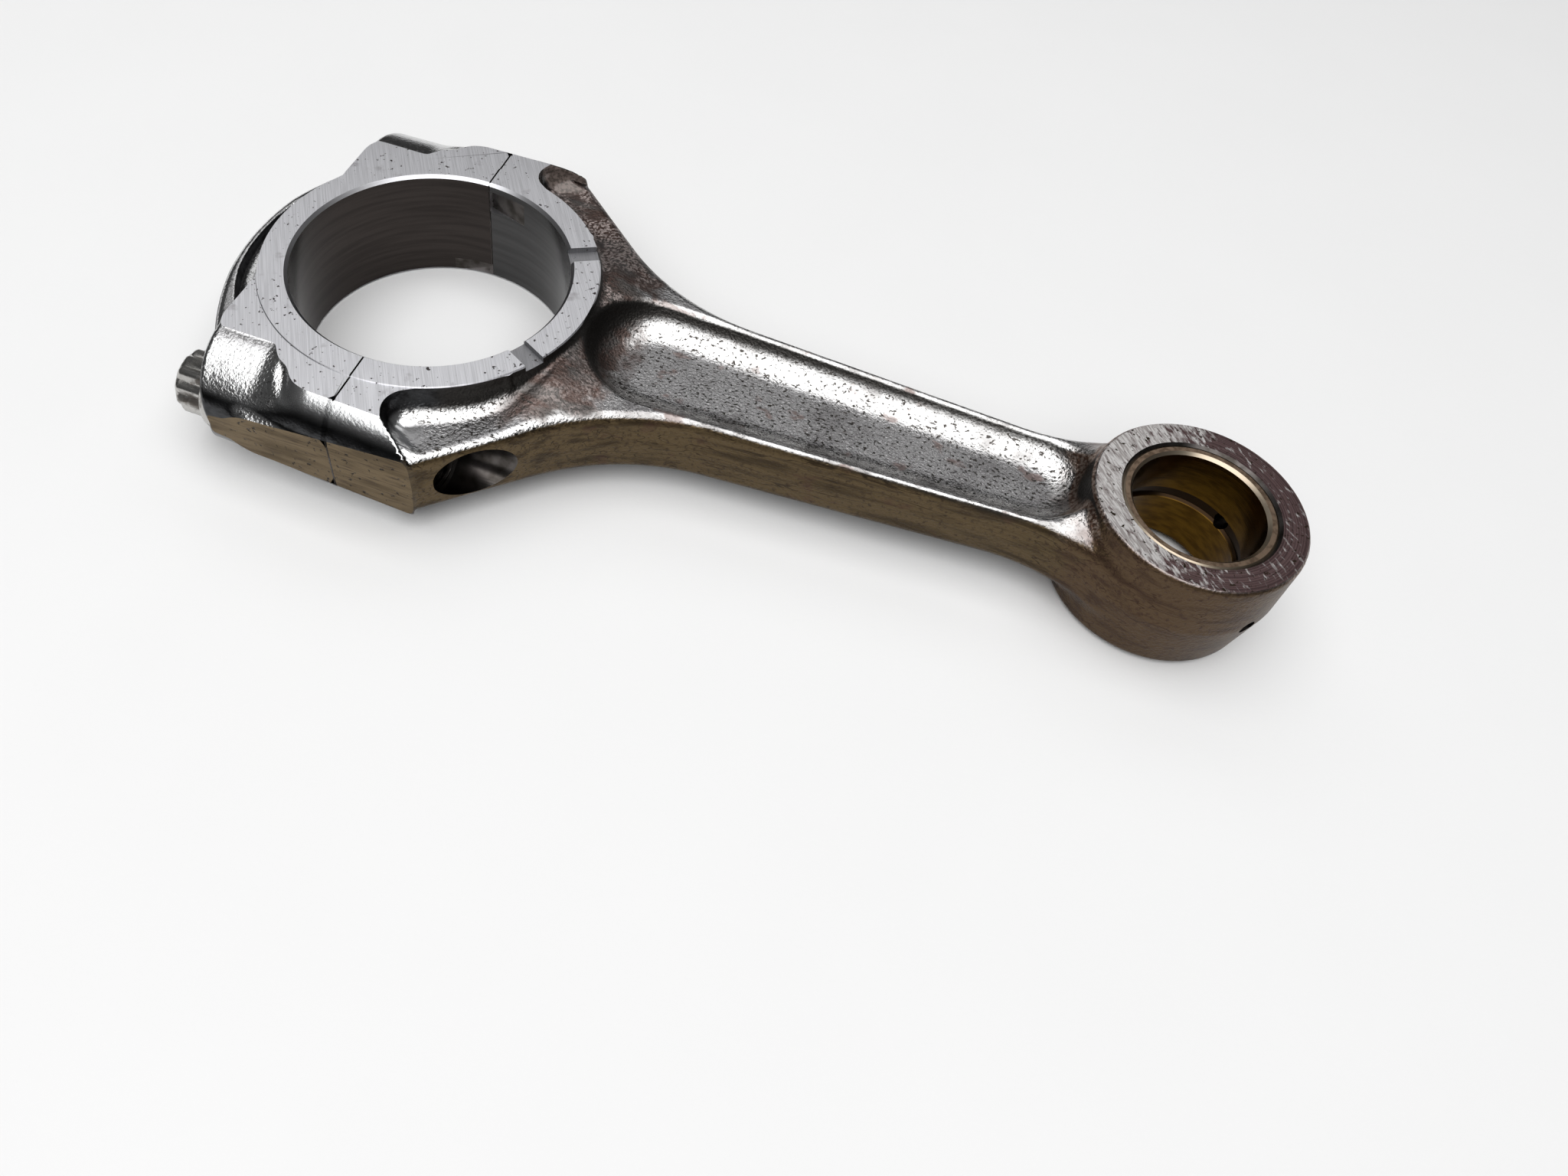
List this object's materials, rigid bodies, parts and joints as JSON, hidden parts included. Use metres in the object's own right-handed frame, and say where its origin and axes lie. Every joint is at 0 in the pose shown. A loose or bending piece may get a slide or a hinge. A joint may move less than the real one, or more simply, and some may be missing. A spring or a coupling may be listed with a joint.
{
  "type": "engine connecting rod",
  "caption": "Forged steel engine connecting rod with an I-section beam, a bolted big-end cap and a bronze-bushed small end.",
  "frame": {"origin": "centre of the big-end bore, at mid-width", "axes": "+X from the big end along the beam to the small end, +Z along both bore axes, +Y across the big end"},
  "size_m": [0.1744, 0.0726, 0.0204],
  "materials": {
    "forged_steel": "shot-peened forging, machined bright on its faces, with light rust and oil staining",
    "cap_steel": "shot-peened forging, machined bright on its faces",
    "bronze": "honed bronze, tarnished brown",
    "bolt_steel": "plain oiled steel",
    "dowel_steel": "ground steel"
  },
  "bodies": {
    "rod": {"rod_body": "forged_steel", "small_end_bush": "bronze", "dowel_sleeve_left": "dowel_steel", "dowel_sleeve_right": "dowel_steel"},
    "cap": {"big_end_cap": "cap_steel"},
    "bolt_left": {"cap_bolt_left": "bolt_steel"},
    "bolt_right": {"cap_bolt_right": "bolt_steel"}
  },
  "joints": [
    {"name": "cap_slide", "type": "slide", "parent": "rod", "child": "cap", "axis": [-1, 0, 0], "range_m": [0, 0.05]},
    {"name": "bolt_left_slide", "type": "slide", "parent": "cap", "child": "bolt_left", "axis": [-1, 0, 0], "range_m": [0, 0.05]},
    {"name": "bolt_right_slide", "type": "slide", "parent": "cap", "child": "bolt_right", "axis": [-1, 0, 0], "range_m": [0, 0.05]}
  ]
}
